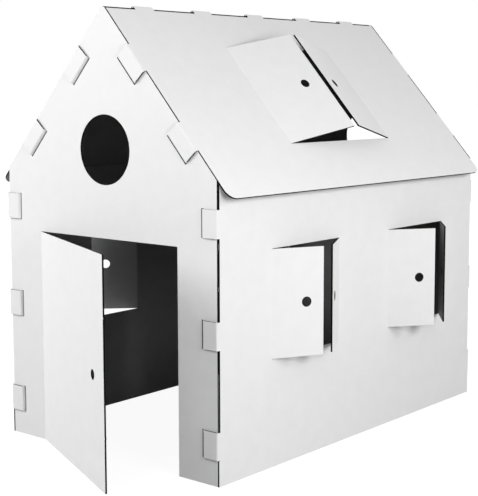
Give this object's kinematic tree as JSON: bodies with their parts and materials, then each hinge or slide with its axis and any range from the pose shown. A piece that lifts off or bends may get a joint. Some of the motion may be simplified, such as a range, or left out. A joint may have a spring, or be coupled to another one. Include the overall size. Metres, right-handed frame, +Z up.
{
  "type": "cardboard playhouse",
  "caption": "Child's playhouse of folded corrugated board: gables, walls and roof held by tabs in slots, with an open door, shutters and skylight flaps.",
  "frame": {"origin": "on the floor under the ridge, halfway between the open door's free edge and the back gable", "axes": "+Z up, +Y from the front gable with the door to the back gable, along the ridge, +X to the right as one faces the door, towards the roof slope with the skylight"},
  "size_m": [1.0802, 1.5914, 1.324],
  "materials": {
    "white_board": "matt white liner outside, charcoal core and inner liner"
  },
  "bodies": {
    "root": {"front_gable": "white_board", "back_gable": "white_board", "right_wall": "white_board", "left_wall": "white_board", "right_roof": "white_board", "left_roof": "white_board"}
  },
  "joints": []
}
